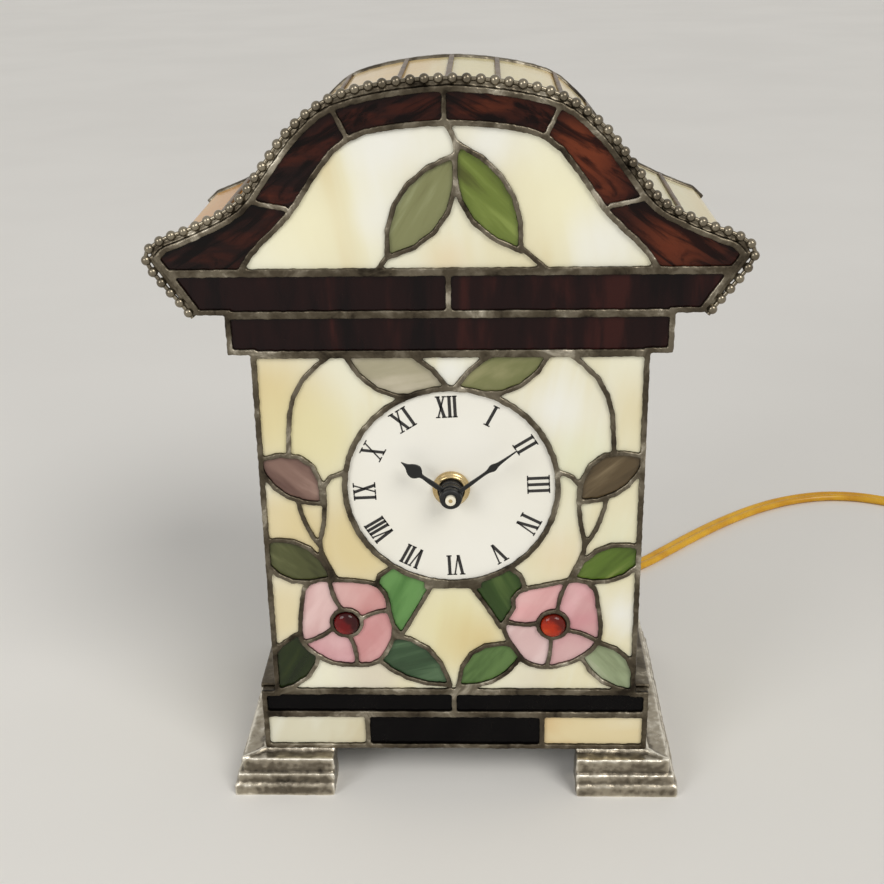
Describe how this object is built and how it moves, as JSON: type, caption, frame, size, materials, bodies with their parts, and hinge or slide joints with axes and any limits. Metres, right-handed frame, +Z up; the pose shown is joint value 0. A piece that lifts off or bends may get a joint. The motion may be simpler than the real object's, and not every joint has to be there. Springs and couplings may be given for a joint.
{
  "type": "clock lamp",
  "caption": "Leaded glass mantel clock case with an arched beaded roof, stepped metal feet, a quartz clock and a small lamp inside, with its cord.",
  "frame": {"origin": "middle of the object's footprint on the surface it stands on, without the free cord", "axes": "+Z up, the dial faces -Y, +X to the right when facing the dial"},
  "size_m": [0.4624, 0.2797, 0.2783],
  "materials": {
    "lead": "patinated solder, dull grey with a low sheen",
    "pewter": "cast pewter, satin with brighter edges",
    "cream": "cream opalescent glass, opaque, glossy",
    "amber": "very dark amber glass with reddish streaks, glossy",
    "black": "black glass, glossy",
    "sage": "grey green opalescent glass, glossy",
    "green": "green opalescent glass, glossy",
    "bottle": "dark green opalescent glass, glossy",
    "plum": "plum grey opalescent glass, glossy",
    "brown": "brown grey opalescent glass, glossy",
    "pink": "pink opalescent glass, glossy",
    "ruby": "dark red pressed glass, glossy",
    "orange": "orange red pressed glass, glossy",
    "dial_white": "warm white enamel, satin",
    "black_paint": "black paint, satin",
    "brass": "polished brass",
    "steel": "plain steel",
    "black_plastic": "moulded black plastic",
    "cream_plastic": "moulded cream plastic",
    "bulb_glass": "frosted bulb glass",
    "cell": "printed battery jacket, plain",
    "gold_cord": "translucent gold plastic insulation"
  },
  "bodies": {
    "case": {"front_leading": "lead", "roof_leading": "lead", "back_rim": "lead", "bead_trim": "lead", "foot_left": "pewter", "foot_right": "pewter", "base_plate": "steel", "pediment_border_glass": "amber", "pediment_band_glass": "amber", "frieze_glass": "amber", "pediment_ground_glass": "cream", "pediment_leaf_left": "sage", "pediment_leaf_right": "green", "body_ground_glass": "cream", "top_leaf_left": "sage", "top_leaf_right": "sage", "plum_leaf_left": "plum", "plum_leaf_right": "brown", "side_leaf_left": "bottle", "side_leaf_right": "green", "dial_leaf_left": "green", "dial_leaf_right": "bottle", "outer_leaf_left": "bottle", "outer_leaf_right": "sage", "inner_leaf_left": "bottle", "inner_leaf_right": "green", "flower_left": "pink", "flower_right": "pink", "jewel_left": "ruby", "jewel_right": "orange", "plinth_black_glass": "black", "plinth_cream_left": "cream", "plinth_cream_right": "cream", "side_glass_left": "cream", "side_glass_right": "cream", "roof_glass": "cream", "lamp_bracket": "brass", "socket_body": "cream_plastic", "bulb_base": "steel", "bulb_glass": "bulb_glass", "dial": "dial_white", "fixing_nut": "brass", "movement_case": "black_plastic", "movement_cover": "black_plastic", "battery": "cell", "strain_relief": "gold_cord", "inner_lead": "gold_cord", "cord_run": "gold_cord", "switch_body": "gold_cord", "cord_coil": "gold_cord", "plug_body": "gold_cord", "plug_blade_left": "brass", "plug_blade_right": "brass"},
    "minute": {"minute_hand": "black_paint", "minute_arbor": "cream_plastic"},
    "hour": {"hour_hand": "black_paint", "hour_wheel": "cream_plastic"},
    "setting": {"setting_wheel": "black_plastic"},
    "rocker": {"switch_rocker": "black_plastic"}
  },
  "joints": [
    {"name": "minute_turn", "type": "hinge", "parent": "case", "child": "minute", "pos_m": [0, -0.04635, 0.131], "axis": [0, 1, 0], "continuous": true},
    {"name": "hour_turn", "type": "hinge", "parent": "case", "child": "hour", "pos_m": [0, -0.04635, 0.131], "axis": [0, 1, 0], "continuous": true},
    {"name": "setting_turn", "type": "hinge", "parent": "case", "child": "setting", "pos_m": [0, -0.04635, 0.141], "axis": [0, 1, 0], "continuous": true},
    {"name": "rocker_tip", "type": "hinge", "parent": "case", "child": "rocker", "pos_m": [0.29864, 0.15763, 0.009], "axis": [-0.766, -0.6428, 0], "range_deg": [0, 20]}
  ],
  "couplings": [
    {"joint": "hour_turn", "follows": "minute_turn", "ratio": 0.083333},
    {"joint": "setting_turn", "follows": "minute_turn", "ratio": -0.33333}
  ]
}
